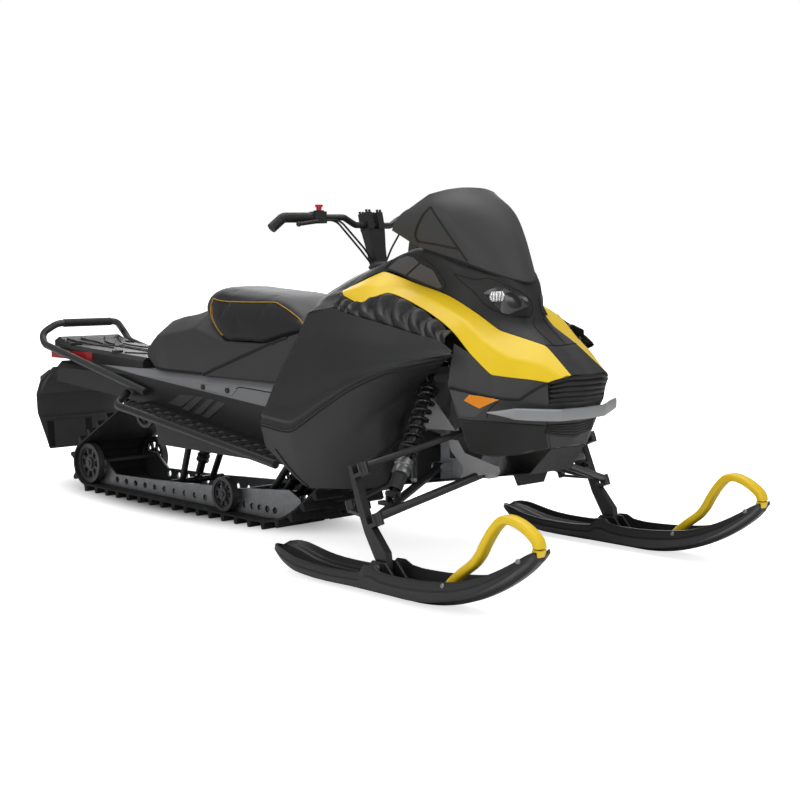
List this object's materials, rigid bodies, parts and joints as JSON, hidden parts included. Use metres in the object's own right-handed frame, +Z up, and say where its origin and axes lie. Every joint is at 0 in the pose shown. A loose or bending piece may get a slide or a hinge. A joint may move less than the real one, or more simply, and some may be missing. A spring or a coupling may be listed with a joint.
{
  "type": "snowmobile",
  "caption": "Trail snowmobile with a lugged track, two steered skis on A-arms, a raked handlebar, a padded seat and faceted nose panels.",
  "frame": {"origin": "on the snow under the middle of the length and width", "axes": "+X forward, +Y to the rider's left, +Z up"},
  "size_m": [3.19, 1.223, 1.21],
  "materials": {
    "charcoal_plastic": "moulded, fine grain",
    "black_plastic": "moulded",
    "yellow_plastic": "moulded in colour, gloss",
    "black_gloss": "dark tinted, smooth",
    "track_rubber": "moulded rubber",
    "flap_rubber": "moulded rubber",
    "black_steel": "powder coat",
    "grey_paint": "powder coat",
    "silver_aluminium": "mill finish",
    "cast_aluminium": "cast",
    "bumper_silver": "satin silver",
    "seat_vinyl": "coated fabric with seams",
    "lamp_lens": "clear lens over a dark reflector",
    "red_lens": "red lens",
    "amber_lens": "amber reflector",
    "red_plastic": "red button",
    "grip_rubber": "ribbed rubber",
    "engine_grey": "plain block"
  },
  "bodies": {
    "chassis": {"belly_pan": "black_plastic", "bulkhead": "cast_aluminium", "cargo_deck": "black_plastic", "console": "black_plastic", "display": "black_gloss", "drive_axle": "black_plastic", "engine": "engine_grey", "frame_tubes": "black_steel", "front_bumper": "bumper_silver", "front_shocks": "black_steel", "front_springs": "black_steel", "grille": "black_plastic", "headlamps": "lamp_lens", "hood": "black_plastic", "hood_panels": "yellow_plastic", "idler_wheels": "black_plastic", "lower_arms": "black_steel", "lower_panels": "charcoal_plastic", "nose_fascia": "charcoal_plastic", "rear_bumper": "grey_paint", "reflectors": "amber_lens", "running_boards": "black_steel", "seat_base": "charcoal_plastic", "seat_cushion": "seat_vinyl", "side_panels": "charcoal_plastic", "side_vents": "black_plastic", "skid_arms": "black_steel", "slide_rails": "silver_aluminium", "snow_flap": "flap_rubber", "sway_bar": "silver_aluminium", "tail_light": "red_lens", "tank_cover": "charcoal_plastic", "track": "track_rubber", "track_shocks": "black_steel", "track_springs": "black_steel", "tunnel": "grey_paint", "upper_arms": "black_steel", "windshield": "black_gloss"},
    "handlebars": {"steering_post": "black_steel", "handlebar": "black_steel", "bar_clamp": "black_steel", "grips": "grip_rubber", "controls": "black_plastic", "stop_button": "red_plastic", "control_cables": "grip_rubber"},
    "steering_right": {"spindle_right": "black_steel"},
    "steering_left": {"spindle_left": "black_steel"},
    "tie_right": {"tie_rod_right": "black_steel"},
    "tie_left": {"tie_rod_left": "black_steel"},
    "skis_right": {"ski_right": "black_plastic", "ski_loop_right": "yellow_plastic"},
    "skis_left": {"ski_left": "black_plastic", "ski_loop_left": "yellow_plastic"}
  },
  "joints": [
    {"name": "handlebar_turn", "type": "hinge", "parent": "chassis", "child": "handlebars", "pos_m": [0.386, 0, 0.936], "axis": [-0.2351, 0, 0.972], "range_deg": [-32, 32]},
    {"name": "ski_steer_right", "type": "hinge", "parent": "chassis", "child": "steering_right", "pos_m": [0.888, -0.5385, 0.367], "axis": [-0.3939, 0, 0.9191], "range_deg": [-28, 28]},
    {"name": "tie_rod_swing_right", "type": "hinge", "parent": "steering_right", "child": "tie_right", "pos_m": [0.785, -0.5, 0.236], "axis": [-0.3939, 0, 0.9191], "range_deg": [-28, 28]},
    {"name": "ski_tilt_right", "type": "hinge", "parent": "steering_right", "child": "skis_right", "pos_m": [0.984, -0.5385, 0.078], "axis": [0, -1, 0], "range_deg": [-12, 20]},
    {"name": "ski_steer_left", "type": "hinge", "parent": "chassis", "child": "steering_left", "pos_m": [0.888, 0.5385, 0.367], "axis": [-0.3939, 0, 0.9191], "range_deg": [-28, 28]},
    {"name": "tie_rod_swing_left", "type": "hinge", "parent": "steering_left", "child": "tie_left", "pos_m": [0.785, 0.5, 0.236], "axis": [-0.3939, 0, 0.9191], "range_deg": [-28, 28]},
    {"name": "ski_tilt_left", "type": "hinge", "parent": "steering_left", "child": "skis_left", "pos_m": [0.984, 0.5385, 0.078], "axis": [0, -1, 0], "range_deg": [-12, 20]}
  ],
  "couplings": [
    {"joint": "ski_steer_right", "follows": "handlebar_turn", "ratio": 0.85},
    {"joint": "tie_rod_swing_right", "follows": "handlebar_turn", "ratio": -0.85},
    {"joint": "ski_steer_left", "follows": "handlebar_turn", "ratio": 0.85},
    {"joint": "tie_rod_swing_left", "follows": "handlebar_turn", "ratio": -0.85}
  ]
}
